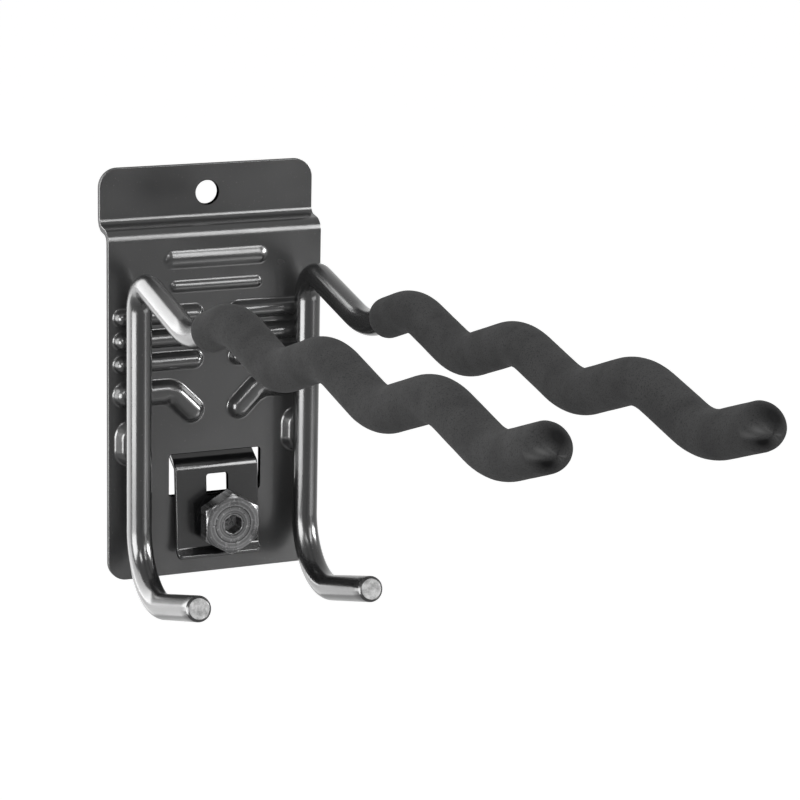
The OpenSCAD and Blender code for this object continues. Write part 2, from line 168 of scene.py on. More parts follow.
class Path:
    """A plane path with round corners, measured by the length along it."""

    def __init__(self, points, radii):
        self.parts = []
        self.length = 0.0
        points = [Vector(p) for p in points]
        headings = [atan2((b - a).y, (b - a).x) for a, b in zip(points, points[1:])]
        at = points[0]
        for i, heading in enumerate(headings):
            last = i == len(headings) - 1
            bend = 0.0 if last else remainder(headings[i + 1] - heading, tau)
            cut = radii[i + 1] * tan(abs(bend) / 2)
            way = Vector((cos(heading), sin(heading)))
            run = (points[i + 1] - way * cut - at).dot(way)
            self._add(at, heading, 0.0, run)
            at = at + way * run
            if not last:
                curve = copysign(1 / radii[i + 1], bend)
                self._add(at, heading, curve, abs(bend) * radii[i + 1])
                at, _ = self.at(self.length)

    def _add(self, start, heading, curve, length):
        self.parts.append((self.length, start, heading, curve, length))
        self.length += length

    def at(self, s):
        """The point at length s, and the heading there."""
        start_s, start, heading, curve, _ = next(
            (part for part in self.parts if s <= part[0] + part[4]), self.parts[-1])
        run = s - start_s
        if curve == 0:
            return start + Vector((cos(heading), sin(heading))) * run, heading
        end = heading + curve * run
        return start + Vector((sin(end) - sin(heading), cos(heading) - cos(end))) / curve, end

    def stations(self, turn_step, run_step):
        """Lengths along the path, close enough in its bends and its straights."""
        found = [0.0]
        for start_s, _, _, curve, length in self.parts:
            steps = length * abs(curve) / radians(turn_step) if curve else length / run_step
            count = max(1, ceil(steps))
            found += [start_s + length * (k + 1) / count for k in range(count)]
        return found


def place(x, y, height):
    """A point of the drawing, y mm behind the wall face and height above the bottom edge."""
    return Vector((x, y, height - ORIGIN_H)) * MM


def bands(first, count, n, flip=False):
    """Faces that join count rings of n vertices each, which begin at vertex first."""
    faces = []
    for a in range(first, first + (count - 1) * n, n):
        b = a + n
        faces += [(a + k, a + (k + 1) % n, b + (k + 1) % n, b + k) for k in range(n)]
    return [f[:1] + f[:0:-1] for f in faces] if flip else faces


def cap(verts, faces, ring, centre, sides, flip):
    """Closes the ring that begins at a vertex with a fan about a centre point."""
    verts.append(centre)
    last = len(verts) - 1
    fan = [(ring + (k + 1) % sides, ring + k, last) for k in range(sides)]
    faces += [f[::-1] for f in fan] if flip else fan


def make_piece(name, verts, faces, materials, body, slot, replaces, normals=None, sharp=None,
               face_materials=None):
    """A mesh piece that rides on a body and stands for its CAD node."""
    mesh = bpy.data.meshes.new(name)
    mesh.from_pydata(verts, [], faces)
    mesh.validate()
    for material in materials:
        mesh.materials.append(material)
    mesh.polygons.foreach_set("use_smooth", [True] * len(mesh.polygons))
    if face_materials is not None:
        mesh.polygons.foreach_set("material_index", face_materials)
    if sharp is not None:
        mesh.set_sharp_from_angle(angle=radians(sharp))
    if normals is not None:
        mesh.normals_split_custom_set_from_vertices(normals)
    piece = add_object(name, mesh)
    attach(piece, body)
    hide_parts(replaces)
    return piece


# ---- Materials ----


def gray(level, blue=0.0005):
    """A gray, a trace bluer than neutral unless blue is 0."""
    return level, level, level + blue


class Shader:
    """A Principled material that is being put together from nodes."""

    def __init__(self, name, color, roughness, **inputs):
        self.material = bpy.data.materials.new(name)
        self.material.use_nodes = True
        self.nodes = self.material.node_tree.nodes
        self.links = self.material.node_tree.links
        self.principled = self.nodes["Principled BSDF"]
        self.set("Base Color", (*color, 1))
        self.set("Roughness", roughness)
        for key, value in inputs.items():
            self.set(key.replace("_", " "), value)
        self.coords = self.nodes.new("ShaderNodeTexCoord").outputs["Object"]

    def set(self, socket, value):
        self.principled.inputs[socket].default_value = value

    def feed(self, socket, output):
        self.links.new(output, self.principled.inputs[socket])

    def noise(self, size, detail=2.0, roughness=0.5, coords=None, stretch=None):
        """A noise whose cells are about size mm."""
        if stretch:
            mapping = self.nodes.new("ShaderNodeMapping")
            mapping.inputs["Scale"].default_value = stretch
            self.links.new(coords or self.coords, mapping.inputs["Vector"])
            coords = mapping.outputs["Vector"]
        node = self.nodes.new("ShaderNodeTexNoise")
        self.links.new(coords or self.coords, node.inputs["Vector"])
        node.inputs["Scale"].default_value = 1 / (size * MM)
        node.inputs["Detail"].default_value = detail
        node.inputs["Roughness"].default_value = roughness
        return node.outputs["Fac"]

    def range(self, value, low, high, to_low, to_high):
        node = self.nodes.new("ShaderNodeMapRange")
        self.links.new(value, node.inputs["Value"])
        for key, number in (("From Min", low), ("From Max", high), ("To Min", to_low),
                            ("To Max", to_high)):
            node.inputs[key].default_value = number
        return node.outputs["Result"]

    def mix(self, value, low, high, a, b, most=1):
        """Color a where the value is low, turning to b, or most of it, where it is high."""
        node = self.nodes.new("ShaderNodeMix")
        node.data_type = "RGBA"
        self.links.new(self.range(value, low, high, 0, most), node.inputs["Factor"])
        for socket, value in ((node.inputs[6], a), (node.inputs[7], b)):
            if isinstance(value, tuple):
                socket.default_value = (*value, 1)
            else:
                self.links.new(value, socket)
        return node.outputs[2]

    def vector_math(self, operation, vector, other=None):
        node = self.nodes.new("ShaderNodeVectorMath")
        node.operation = operation
        self.links.new(vector, node.inputs[0])
        if other:
            node.inputs[1].default_value = other
        return node.outputs["Value" if operation == "LENGTH" else "Vector"]

    def bump(self, *heights):
        """Bumps, each as its height value, its depth in mm and its strength."""
        normal = None
        for value, depth, strength in heights:
            node = self.nodes.new("ShaderNodeBump")
            node.inputs["Distance"].default_value = depth * MM
            node.inputs["Strength"].default_value = strength
            self.links.new(value, node.inputs["Height"])
            if normal:
                self.links.new(normal, node.inputs["Normal"])
            normal = node.outputs["Normal"]
        self.feed("Normal", normal)


def gloss_paint(name, color, dust, smoothest, roughest, peel, grain=0.0015, specular=0.5):
    """Gloss powder coat: a little orange peel, fine grain, cloudy gloss, and specks of dust."""
    shader = Shader(name, color, smoothest, IOR=1.5, Specular_IOR_Level=specular)
    specks = shader.noise(0.7, detail=1.0)
    clouds = shader.noise(22, detail=3.0)
    shader.feed("Base Color", shader.mix(specks, 0.70, 0.78, color, dust))
    shader.feed("Roughness", shader.range(clouds, 0.3, 0.7, smoothest, roughest))
    shader.bump((shader.noise(1.6, detail=2.0), peel, 0.6), (shader.noise(0.35), grain, 0.6))
    return shader.material


PAINTED_LIGHT = "tint"                            # the attribute that holds the foam tip's painted shade and painted highlights


def foam_rubber():
    """Matt closed-cell foam with a fine open skin, with painted shade in the hollows of its pinched
    tip and painted highlights on its folds.
    """
    shader = Shader("foam_skin", gray(0.058), 0.92, IOR=1.4, Specular_IOR_Level=0.05,
                    Sheen_Weight=0.02, Sheen_Roughness=0.6)
    clouds = shader.noise(9, detail=3.0)
    cells = shader.noise(0.45, detail=2.0, roughness=0.6)
    shade = shader.mix(clouds, 0.35, 0.65, gray(0.058), gray(0.076))
    shade = shader.mix(cells, 0.5, 0.75, shade, gray(0.026), most=0.8)
    attribute = shader.nodes.new("ShaderNodeAttribute")
    attribute.attribute_name = PAINTED_LIGHT
    tint = attribute.outputs["Fac"]
    # Painted shade where the tip's painted light value is below 0, painted highlight where it is above
    # 0.
    shade = shader.mix(tint, 0, -1, shade, gray(0.008))
    shade = shader.mix(tint, 0, 1, shade, gray(0.15, 0))
    shader.feed("Base Color", shade)
    shader.feed("Roughness", shader.range(cells, 0.3, 0.7, 0.86, 0.97))
    shader.bump((clouds, 0.25, 0.5), (cells, 0.05, 0.7))
    return shader.material


def cut_steel():
    """The sawn end of a rod, with thin paint over mottled metal."""
    shader = Shader("cut_end", gray(0.4, 0), 0.5, Specular_IOR_Level=0.3)
    blotches = shader.noise(2.2, detail=4.0, roughness=0.65)
    marks = shader.noise(1.5, detail=3.0, stretch=(0.6, 1, 4))
    shader.feed("Base Color", shader.mix(blotches, 0.35, 0.65, gray(0.3, 0), gray(0.8, 0)))
    shader.feed("Roughness", shader.range(marks, 0.3, 0.7, 0.4, 0.6))
    shader.bump((marks, 0.04, 0.5), (blotches, 0.06, 0.4))
    return shader.material


def turned_steel():
    """Dark steel with the rings that a lathe leaves about the cam's axis."""
    shader = Shader("turned_steel", gray(0.06, 0.002), 0.32, Metallic=0.55)
    offset = shader.vector_math("SUBTRACT", shader.coords, place(PIVOT_X, 0, PIVOT_Z))
    radius = shader.vector_math("LENGTH", shader.vector_math("MULTIPLY", offset, (1, 0, 1)))
    along = shader.nodes.new("ShaderNodeCombineXYZ")
    shader.links.new(radius, along.inputs["X"])
    rings = shader.noise(0.6, detail=2.0, roughness=0.7, coords=along.outputs["Vector"])
    patches = shader.noise(5, detail=3.0)
    scuffs = shader.noise(1.1, detail=4.0, roughness=0.7)
    shade = shader.mix(rings, 0.4, 0.62, gray(0.014), gray(0.13, 0.002))
    shader.feed("Base Color", shader.mix(scuffs, 0.58, 0.68, shade, gray(0.32, 0), most=0.5))
    shader.feed("Roughness", shader.range(patches, 0.3, 0.7, 0.22, 0.4))
    shader.bump((rings, 0.14, 0.7), (scuffs, 0.04, 0.6))
    return shader.material


PLATE_PAINT = gloss_paint("plate_paint", gray(0.038), gray(0.06, 0), 0.19, 0.28, peel=0.006)
EDGE_PAINT = gloss_paint("edge_paint", gray(0.02), gray(0.04, 0), 0.5, 0.65, peel=0.03,
                         specular=0.12)
CLIP_PAINT = gloss_paint("clip_paint", gray(0.008), gray(0.03, 0), 0.15, 0.22, peel=0.005)
ROD_PAINT = gloss_paint("rod_paint", gray(0.016), gray(0.05, 0), 0.18, 0.26, peel=0.008,
                        grain=0.004)
FOAM = foam_rubber()
CUT_STEEL = cut_steel()
CAM_STEEL = turned_steel()

# ---- Bent sheets with beads and holes ----

BEVEL_STEPS = 4
CROWN = 0.42                             # height of a bead's crown, as a share of its flat


def round_rect(w, h, r, centre, step=0.6, turns=12):
    """Outline of a rounded rectangle, anticlockwise, as points with their outward normals."""
    cx, cy = centre
    corners = [(cx + w / 2 - r, cy + h / 2 - r, 0), (cx - w / 2 + r, cy + h / 2 - r, 90),
               (cx - w / 2 + r, cy - h / 2 + r, 180), (cx + w / 2 - r, cy - h / 2 + r, 270)]
    arcs = []
    for x, y, first in corners:
        angles = [radians(first + 90 * k / turns) for k in range(turns + 1)]
        arcs.append([((x + r * cos(a), y + r * sin(a)), (cos(a), sin(a))) for a in angles])
    outline = []
    for arc, following in zip(arcs, arcs[1:] + arcs[:1]):
        outline += arc
        (ax, ay), n = arc[-1]
        (bx, by), _ = following[0]
        count = max(1, ceil(hypot(bx - ax, by - ay) / step))
        outline += [((ax + (bx - ax) * k / count, ay + (by - ay) * k / count), n)
                    for k in range(1, count)]
    return outline


def circle(r, centre, count=48):
    """Outline of a circle, as points with their outward normals."""
    return [((centre[0] + r * cos(a), centre[1] + r * sin(a)), (cos(a), sin(a)))
            for a in (tau * k / count for k in range(count))]


def as_hole(outline):
    """The same outline with normals that point into the hole, away from the sheet."""
    return [(p, (-n[0], -n[1])) for p, n in outline]


class Bead:
    """A pressed ridge along a line, with a crowned top, rounded shoulders and straight flanks."""

    def __init__(self, line, w, h, top_r, flat, foot_r):
        self.line = [np.array(p, float) for p in line]
        self.crown = CROWN * flat
        h = h - self.crown
        self.flat, self.half, self.h, self.foot_r = flat, w / 2 - flat, h, foot_r
        fullest = (h * h + self.half ** 2) / (2 * h)
        self.top_r = min(top_r, fullest - foot_r - 0.05)
        self.slope = self._slope()

    def _slope(self):
        """The flank's angle at which the profile is as wide and as high as it should be."""
        radii = self.top_r + self.foot_r
        low, high = 0.05, asin(min(1, self.half / radii)) - 0.01
        for _ in range(60):
            a = (low + high) / 2
            flank = (self.half - radii * sin(a)) / cos(a)
            if radii * (1 - cos(a)) + flank * sin(a) < self.h:
                low = a
            else:
                high = a
        return a

    def distance(self, p):
        """How far the points p are from the line."""
        best = np.full(len(p), np.inf)
        for a, b in zip(self.line, self.line[1:]):
            ab = b - a
            t = np.clip(((p - a) @ ab) / (ab @ ab), 0, 1)
            best = np.minimum(best, norm(p - a - t[:, None] * ab, axis=1))
        return best

    def height(self, p):
        """How high the ridge stands at the points p."""
        away = self.distance(p)
        d = np.maximum(away - self.flat, 0)
        crown = self.crown * np.maximum(1 - (away / (self.flat + self.half)) ** 2, 0)
        a = self.slope
        top_end = self.top_r * sin(a)
        foot_start = self.half - self.foot_r * sin(a)
        top = self.h - self.top_r + np.sqrt(np.maximum(self.top_r ** 2 - d ** 2, 0))
        flank = self.h - self.top_r * (1 - cos(a)) - (d - top_end) * tan(a)
        foot = self.foot_r - np.sqrt(np.maximum(self.foot_r ** 2 - (self.half - d) ** 2, 0))
        return crown + np.select([d < top_end, d < foot_start, d < self.half],
                                 [top, flank, foot], 0.0)

    def offsets(self):
        """Distances from the line at which the sheet's mesh gets rows of points."""
        a = self.slope
        top = [self.top_r * sin(a * k / 4) for k in range(5)]
        foot = [self.half - self.foot_r * sin(a * k / 4) for k in range(4, -1, -1)]
        middle = [top[-1] + (foot[0] - top[-1]) * k / 3 for k in (1, 2)]
        rounded = [self.flat + d for d in top + middle + foot + [self.half + 0.25]]
        return ([0, self.flat / 2] if self.flat else []) + rounded

    def rows(self, step=0.8):
        """Points on rows along the bead, with round ends."""
        found = []
        for offset in self.offsets():
            found += offset_row(self.line, offset, step)
        return found


def offset_row(line, offset, step):
    """Points at a distance round a line, along its sides and round its ends."""
    if offset == 0:
        found = []
        for a, b in zip(line, line[1:]):
            count = max(1, round(norm(b - a) / step))
            found += [a + (b - a) * k / count for k in range(count + 1)]
        return found
    loop = list(line) + list(line[-2:0:-1])
    found = []
    for before, at, after in zip(loop[-1:] + loop[:-1], loop, loop[1:] + loop[:1]):
        heading = atan2(*(at - before)[::-1])
        bend = remainder(atan2(*(after - at)[::-1]) - heading, tau)
        if abs(abs(bend) - pi) < 1e-6:
            bend = pi
        if bend > 0:
            count = max(2, ceil(bend * offset / (0.6 * step)), ceil(bend / 0.3))
            turns = [heading + bend * k / count for k in range(count + 1)]
            found += [at + offset * np.array((sin(a), -cos(a))) for a in turns]
        length = norm(after - at)
        way = (after - at) / length
        side = np.array((way[1], -way[0])) * offset
        count = max(1, round(length / step))
        found += [at + side + way * length * k / count for k in range(1, count)]
    return found


def rounded_corner(a, corner, b, r, steps=6):
    """The line from a to b with its corner rounded to radius r."""
    a, corner, b = (np.array(p, float) for p in (a, corner, b))
    back, on = (a - corner) / norm(a - corner), (b - corner) / norm(b - corner)
    half = acos(np.clip(back @ on, -1, 1)) / 2
    cut = r / tan(half)
    inwards = (back + on) / norm(back + on)
    centre = corner + inwards * r / sin(half)
    start, end = corner + back * cut - centre, corner + on * cut - centre
    angle = pi - 2 * half
    arc = [centre + (sin((1 - t) * angle) * start + sin(t * angle) * end)
           / sin(angle) for t in (k / steps for k in range(steps + 1))]
    return [a] + arc + [b]


class Loop:
    """An edge of a sheet: its outline, and how it is broken at its front and its back."""

    def __init__(self, outline, front=0.2, back=0.2, flat_back=False):
        self.points = np.array([p for p, _ in outline])
        self.normals = np.array([n for _, n in outline])
        self.front, self.back, self.flat_back = front, back, flat_back

    def rings(self, t):
        """The rings from the front face to the back: inset, depth and lean of the normal."""
        turns = [radians(90 * k / BEVEL_STEPS) for k in range(BEVEL_STEPS + 1)]
        front = [(self.front * (1 - sin(a)), self.front * (1 - cos(a)), a) for a in turns]
        if self.flat_back:
            cone = [(inset, t - self.back + inset, radians(135))
                    for inset in (0.04, self.back - 0.04)]
            return front + [(0, t - self.back, pi / 2)] + cone + [(self.back, t, pi)]
        return front + [(self.back * (1 - cos(a)), t - self.back * (1 - sin(a)),
                         pi / 2 + a) for a in turns]


def within(points, borders):
    """Which points lie on the sheet: inside its outline and outside its holes."""
    inside = np.zeros(len(points), bool)
    x, y = points[:, 0], points[:, 1]
    for border in borders:
        for (ax, ay), (bx, by) in zip(border, np.roll(border, -1, axis=0)):
            if ay != by:
                inside ^= ((ay > y) != (by > y)) & (x < (bx - ax) * (y - ay) / (by - ay) + ax)
    return inside


def height_of(beads, wave, points, e=0.02):
    """Height of the beads on a wavy sheet at the points, and its slopes in x and s."""
    def total(p):
        h = wave(p)
        for bead in beads:
            h = h + bead.height(p)
        return h

    dx, ds = np.array((e, 0)), np.array((0, e))
    slopes = np.stack([(total(points + dx) - total(points - dx)) / (2 * e),
                       (total(points + ds) - total(points - ds)) / (2 * e)], axis=1)
    return total(points), slopes


class Sheet:
    """The mesh of a sheet of thickness t that is bent along a path.

    Its flat pattern is drawn in x and in the length s along the path's front. Its second
    material is for the walls of its edges."""

    def __init__(self, path, t, wave, loops):
        self.path, self.t, self.wave = path, t, wave
        self.verts, self.normals, self.faces, self.materials = [], [], [], []
        self.edges = [self.add_edge(loop) for loop in loops]

    def put(self, points, lift, depth, normals):
        """Adds points of the pattern, depth below the front, and returns their indices.

        Their normals are given across the sheet, along it and out of its front."""
        for (x, s), rise, (across, along, out) in zip(points, lift, normals):
            at, heading = self.path.at(s)
            sine, cosine = sin(heading), cos(heading)
            raised = np.array((0, -sine, cosine)) * (rise - depth)
            self.verts.append((np.array((x, at.x, at.y - ORIGIN_H)) + raised) * MM)
            normal = np.array((across, along * cosine - out * sine, along * sine + out * cosine))
            self.normals.append(normal / norm(normal))
        return list(range(len(self.verts) - len(points), len(self.verts)))

    def add_edge(self, loop):
        """Adds an edge with its rings from front to back, and returns them with their indices."""
        first, n = len(self.verts), len(loop.points)
        rings = []
        for inset, depth, lean in loop.rings(self.t):
            ring = loop.points - loop.normals * inset
            normals = np.column_stack([loop.normals * sin(lean), np.full(n, cos(lean))])
            rings.append((ring, self.put(ring, self.wave(ring), depth, normals)))
        self.faces += bands(first, len(rings), n, flip=True)
        self.materials += [0] * BEVEL_STEPS * n + [1] * (len(rings) - 1 - BEVEL_STEPS) * n
        return rings

    def add_face(self, ring_no, depth, facing, beads, grid_points):
        """Fills the front or the back, between one ring of each edge."""
        borders = [rings[ring_no][0] for rings in self.edges]
        indices = [i for rings in self.edges for i in rings[ring_no][1]]
        inner = np.array([p for bead in beads for p in bead.rows()] + grid_points)
        inner = inner[np.unique(np.round(inner / 0.1), axis=0, return_index=True)[1]]
        near = norm(inner[:, None] - np.vstack(borders), axis=2).min(axis=1)
        inner = inner[within(inner, borders) & (near > 0.2)]
        lift, slopes = height_of(beads, self.wave, inner)
        normals = facing * np.column_stack([-slopes, np.ones(len(inner))])
        indices += self.put(inner, lift, depth, normals)
        lines, start = [], 0
        for ring in borders:
            n = len(ring)
            lines += [(start + k, start + (k + 1) % n) for k in range(n)]
            start += n
        pattern = [Vector(q) for q in np.vstack(borders + [inner])]
        points, _, triangles, sources, _, _ = delaunay_2d_cdt(pattern, lines, [], 0, 1e-6, True)
        triangles = np.array([list(f) for f in triangles])
        middles = np.array([tuple(q) for q in points])[triangles].mean(axis=1)
        for triangle in triangles[within(middles, borders)]:
            face = [indices[sources[v][0]] for v in triangle]
            self.faces.append(face[::facing])
            self.materials.append(0)

    def make(self, name, front_beads, back_beads, grid_points, paint, **place_in_cad):
        """Closes the sheet and makes it a piece with a body and a node it replaces."""
        self.add_face(0, 0.0, 1, front_beads, grid_points)
        self.add_face(-1, self.t, -1, back_beads, grid_points)
        make_piece(name, self.verts, self.faces, [paint, EDGE_PAINT], **place_in_cad,
                   normals=self.normals, face_materials=self.materials)


def bend_path(points, t, r):
    """The front of a sheet that lies to its right, with bends round by r inside."""
    radii = [0.0]
    for a, b, c in zip(points, points[1:], points[2:]):
        right_turn = (b[0] - a[0]) * (c[1] - b[1]) - (b[1] - a[1]) * (c[0] - b[0]) < 0
        radii.append(r + t if right_turn else r)
    return Path(points, radii + [0.0])


def grid(half_width, rows, step):
    """Points of the pattern on rows across it, about a step apart."""
    count = round(2 * half_width / step)
    return [(half_width * (2 * k / count - 1), s) for s in rows for k in range(count + 1)]


def plate_beads():
    """The plate's ridges at its front, and their hollows at its back."""
    pressed = []
    for side in (-1, 1):
        half = SHORT_BEAD["w"] / 2
        for k in range(SHORT_BEAD["count"]):
            z = SHORT_BEAD["top"] - k * SHORT_BEAD["pitch"]
            pressed.append((SHORT_BEAD, [(side * (BEAD_INNER_X + half), z),
                                         (side * (BEAD_OUTER_X - half), z)]))
        drop = ELBOW["corner_x"] - ELBOW["end_x"]
        pressed.append((ELBOW, rounded_corner(
            (side * (BEAD_OUTER_X - ELBOW["w"] / 2), ELBOW["z"]),
            (side * ELBOW["corner_x"], ELBOW["z"]),
            (side * ELBOW["end_x"], ELBOW["z"] - drop), ELBOW["w"] / 2 + ELBOW["inside_r"])))
        half = (PAD["length"] - PAD["w"]) / 2
        pressed.append((PAD, [(side * ROD_X, PAD["z"] - half), (side * ROD_X, PAD["z"] + half)]))
    front = [Bead(line, b["w"], BEAD_H, b["top_r"], b["flat"], FOOT_R) for b, line in pressed]
    back = [Bead(line, b["w"] - HOLLOW["narrower"], BEAD_H - HOLLOW["shallower"],
                 HOLLOW["top_r_share"] * b["top_r"], b["flat"], HOLLOW["foot_r"])
            for b, line in pressed]
    for b in PLAIN_BEADS:
        half = (b["length"] - b["w"]) / 2
        plain = Bead([(-half, b["z"]), (half, b["z"])], b["w"], PLAIN_BEAD_H, b["w"], 0,
                     PLAIN_FOOT_SHARE * b["w"])
        front.append(plain)
        back.append(plain)
    return front, back


def plate_wave(p):
    """A pressed sheet is never quite flat."""
    x, s = p[:, 0] / 38, p[:, 1] / 60 - 1
    return 0.04 * np.sin(2.1 * x + 0.7) * np.cos(1.7 * s)


def make_plate():
    path = bend_path([(-PLATE_T, 0), (-PLATE_T, FACE_H), (TONGUE_Y, FACE_H + STEP_RISE),
                      (TONGUE_Y, PLATE_H)], PLATE_T, STEP_BEND_R)
    total = path.length
    window = round_rect(WINDOW_W, WINDOW_H, WINDOW_R, (0, WINDOW_Z + WINDOW_H / 2))
    loops = [
        Loop(round_rect(PLATE_W, total, PLATE_CORNER_R, (0, total / 2), step=1.2)),
        Loop(as_hole(circle(SCREW_HOLE_R, (0, total - SCREW_HOLE_DROP)))),
        Loop(as_hole(window), 0.25, 0.25),
        Loop(as_hole(circle(PIN_R + PIN_CLEAR, (PIVOT_X, PIVOT_Z))), 0.1, TAIL_H - 0.02,
             flat_back=True),
    ]
    bends = [s for s in path.stations(11, 4.0) if s > FACE_H - 6]
    rows = list(np.arange(2.0, FACE_H - 8, 3.0)) + bends
    points = grid(PLATE_W / 2 - 1.2, rows, 2.4)
    Sheet(path, PLATE_T, plate_wave, loops).make(
        "back_plate_skin", *plate_beads(), points, PLATE_PAINT, body="bracket",
        slot="plate_paint", replaces="back_plate")


def make_clip():
    bottom = -(CLIP_FRONT + CLIP_LEAN)
    path = bend_path([(bottom - LIP_REACH, CLIP_BOTTOM_Z - LIP_DROP), (bottom, CLIP_BOTTOM_Z),
                      (-CLIP_FRONT, CLIP_TOP_Z), (TONGUE_Y, CLIP_TOP_Z + LEDGE_RISE),
                      (TONGUE_Y, CLIP_TOP_Z + LEDGE_RISE + TONGUE_H)], CLIP_T, CLIP_BEND_R)
    total = path.length

    def length_at(height):
        """The length along the path where its face is at a height."""
        low, high = 0.0, total
        for _ in range(50):
            middle = (low + high) / 2
            low, high = (middle, high) if path.at(middle)[0].y < height else (low, middle)
        return low

    travel = PIVOT_X * (1 - cos(radians(CAM_TURN)))
    slot_r = JOURNAL_R + JOURNAL_CLEAR
    peep_hole = round_rect(PEEP_W, PEEP_H, PEEP_R, (0, length_at(PEEP_Z)))
    slot = round_rect(travel + 2 * SLOT_END_GAP + 2 * slot_r, 2 * slot_r, slot_r - 0.001,
                      (travel / 2, length_at(PIVOT_Z)))
    loops = [Loop(round_rect(CLIP_W, total, CLIP_CORNER_R, (0, total / 2)), 0.55, 0.3),
             Loop(as_hole(peep_hole)), Loop(as_hole(slot), 0.15, 0.15)]
    points = grid(CLIP_W / 2 - 0.8, path.stations(9, 1.5), 1.5)
    Sheet(path, CLIP_T, lambda p: np.zeros(len(p)), loops).make(
        "lock_clip_skin", [], [], points, CLIP_PAINT, body="clip", slot="clip_paint",
        replaces="lock_clip")


# ---- Rods and foam ----


def trough(i):
    """The arm's low point before wave i, as run and height."""
    return Vector((DIP_RUN + 2 * i * WAVE_STEP, SHOULDER_Z - DIP_DROP + i * (WAVE_RISE - WAVE_DROP)))


def arm_path(start_points, start_radii):
    """A path that ends with the arm's waves and its tip."""
    points = list(start_points)
    radii = list(start_radii)
    for i in range(WAVE_COUNT):
        points += [trough(i) + Vector((WAVE_STEP, WAVE_RISE)), trough(i + 1)]
        radii += [WAVE_BEND_R, WAVE_BEND_R]
    points.append(trough(WAVE_COUNT) + Vector((TIP_RUN, TIP_RUN * WAVE_SLOPE)))
    return Path(points, radii + [0.0])


def tube(x, path, rings, sides):
    """Rings round a path in a rod's plane. Each ring is (length, radius, shape or None)."""
    verts = []
    for s, radius, shape in rings:
        at, heading = path.at(s)
        for k in range(sides):
            a = tau * k / sides
            r = radius * (shape(s, a) if shape else 1)
            up = r * sin(a)
            forward, height = at.x - up * sin(heading), at.y + up * cos(heading)
            verts.append(place(x + r * cos(a), -ROD_Y - forward, height))
    return verts, bands(0, len(rings), sides)


def make_rod(side, name):
    prong_tip = Vector((PRONG_REACH, PRONG_Z + PRONG_RISE))
    path = arm_path([prong_tip, (0, PRONG_Z), (0, SHOULDER_Z), trough(0)],
                    [0.0, PRONG_BEND_R, SHOULDER_BEND_R, WAVE_BEND_R])
    flat_r = ROD_R - ROD_CHAMFER
    sawn = [(0, flat_r * k / 6, None) for k in range(1, 6)] + [(0, flat_r - 0.15, None)]
    rings = sawn + [(0.04, flat_r, None), (ROD_CHAMFER * 0.9, ROD_R - 0.06, None),
                    (ROD_CHAMFER + 0.15, ROD_R, None)]
    rings += [(s, ROD_R, None) for s in path.stations(3, 8.0) if s > ROD_CHAMFER + 0.2]
    x = side * ROD_X
    verts, faces = tube(x, path, rings, ROD_SIDES)
    steel = [1] * len(sawn) * ROD_SIDES
    paint = [0] * (len(faces) - len(steel))
    (start, _), (end, _) = path.at(0), path.at(path.length)
    cap(verts, faces, 0, place(x, -ROD_Y - start.x, start.y), ROD_SIDES, False)
    cap(verts, faces, (len(rings) - 1) * ROD_SIDES, place(x, -ROD_Y - end.x, end.y), ROD_SIDES,
        True)
    make_piece(name, verts, faces, [ROD_PAINT, CUT_STEEL], "bracket", "rod_paint",
               name.replace("_skin", ""), sharp=30,
               face_materials=steel + paint + [1] * ROD_SIDES + [0] * ROD_SIDES)


TIP_SAG = radians(24)
# Each as the angle round the tip, the way from its rim to its pole, its spread in both, its depth
TIP_HOLLOWS = [(72, 0.55, 46, 0.32, 1.4), (238, 0.5, 34, 0.32, 1.5), (322, 0.7, 16, 0.2, 0.5)]
# Painted shade in the tip's hollows (below 0) and painted highlights on its left side and its ridges
# (above 0).
TIP_PAINTED_LIGHT = [(72, 0.58, 50, 0.34, -1.2), (238, 0.52, 34, 0.3, -1.3), (165, 0.62, 12, 0.2, 0.9),
             (140, 0.8, 12, 0.2, 0.5), (190, 0.35, 11, 0.3, 0.8), (345, 0.85, 14, 0.14, 0.7)]


def fold(a, q, angle, at, spread, wide, depth):
    """How deep one fold is at angle a round the tip and way q to its pole."""
    turn = remainder(a - radians(angle), tau) / radians(spread)
    return depth * exp(-turn ** 2 - ((q - at) / wide) ** 2)


def close_foam(x, path, lumps, verts, faces):
    """Closes a sleeve's far end, pinched shut below its middle, with hollows between folds.

    Returns the painted light of the new vertices: below 0 for painted shade, above 0 for painted
    highlights."""
    sides, steps = FOAM_SIDES, 24
    first = len(verts) - sides
    at, heading = path.at(path.length)
    up = Vector((0, sin(heading), cos(heading)))
    way = Vector((0, -cos(heading), sin(heading)))
    pole = way * cos(TIP_SAG) - up * sin(TIP_SAG)
    end = place(x, -ROD_Y - at.x, at.y)
    painted_light_values = []
    for j in range(1, steps):
        q = j / steps
        dent = 0.5 * exp(-((1 - q) / 0.12) ** 2)
        for k in range(sides):
            a = tau * k / sides
            rim = Vector((1, 0, 0)) * cos(a) + up * sin(a)
            full = rim.angle(pole)
            way_out = (rim * sin((1 - q) * full) + pole * sin(q * full)) / sin(full)
            sink = dent + sum(fold(a, q, *hollow) for hollow in TIP_HOLLOWS)
            verts.append(end + way_out * (FOAM_R * lumps(path.length, a) - sink) * MM)
            painted_light_values.append(sum(fold(a, q, *tint) for tint in TIP_PAINTED_LIGHT))
    faces += bands(first, steps, sides)
    cap(verts, faces, len(verts) - sides, end + pole * (FOAM_R - 0.6) * MM, sides, True)
    # The tip's pole gets painted shade.
    return painted_light_values + [-0.5]


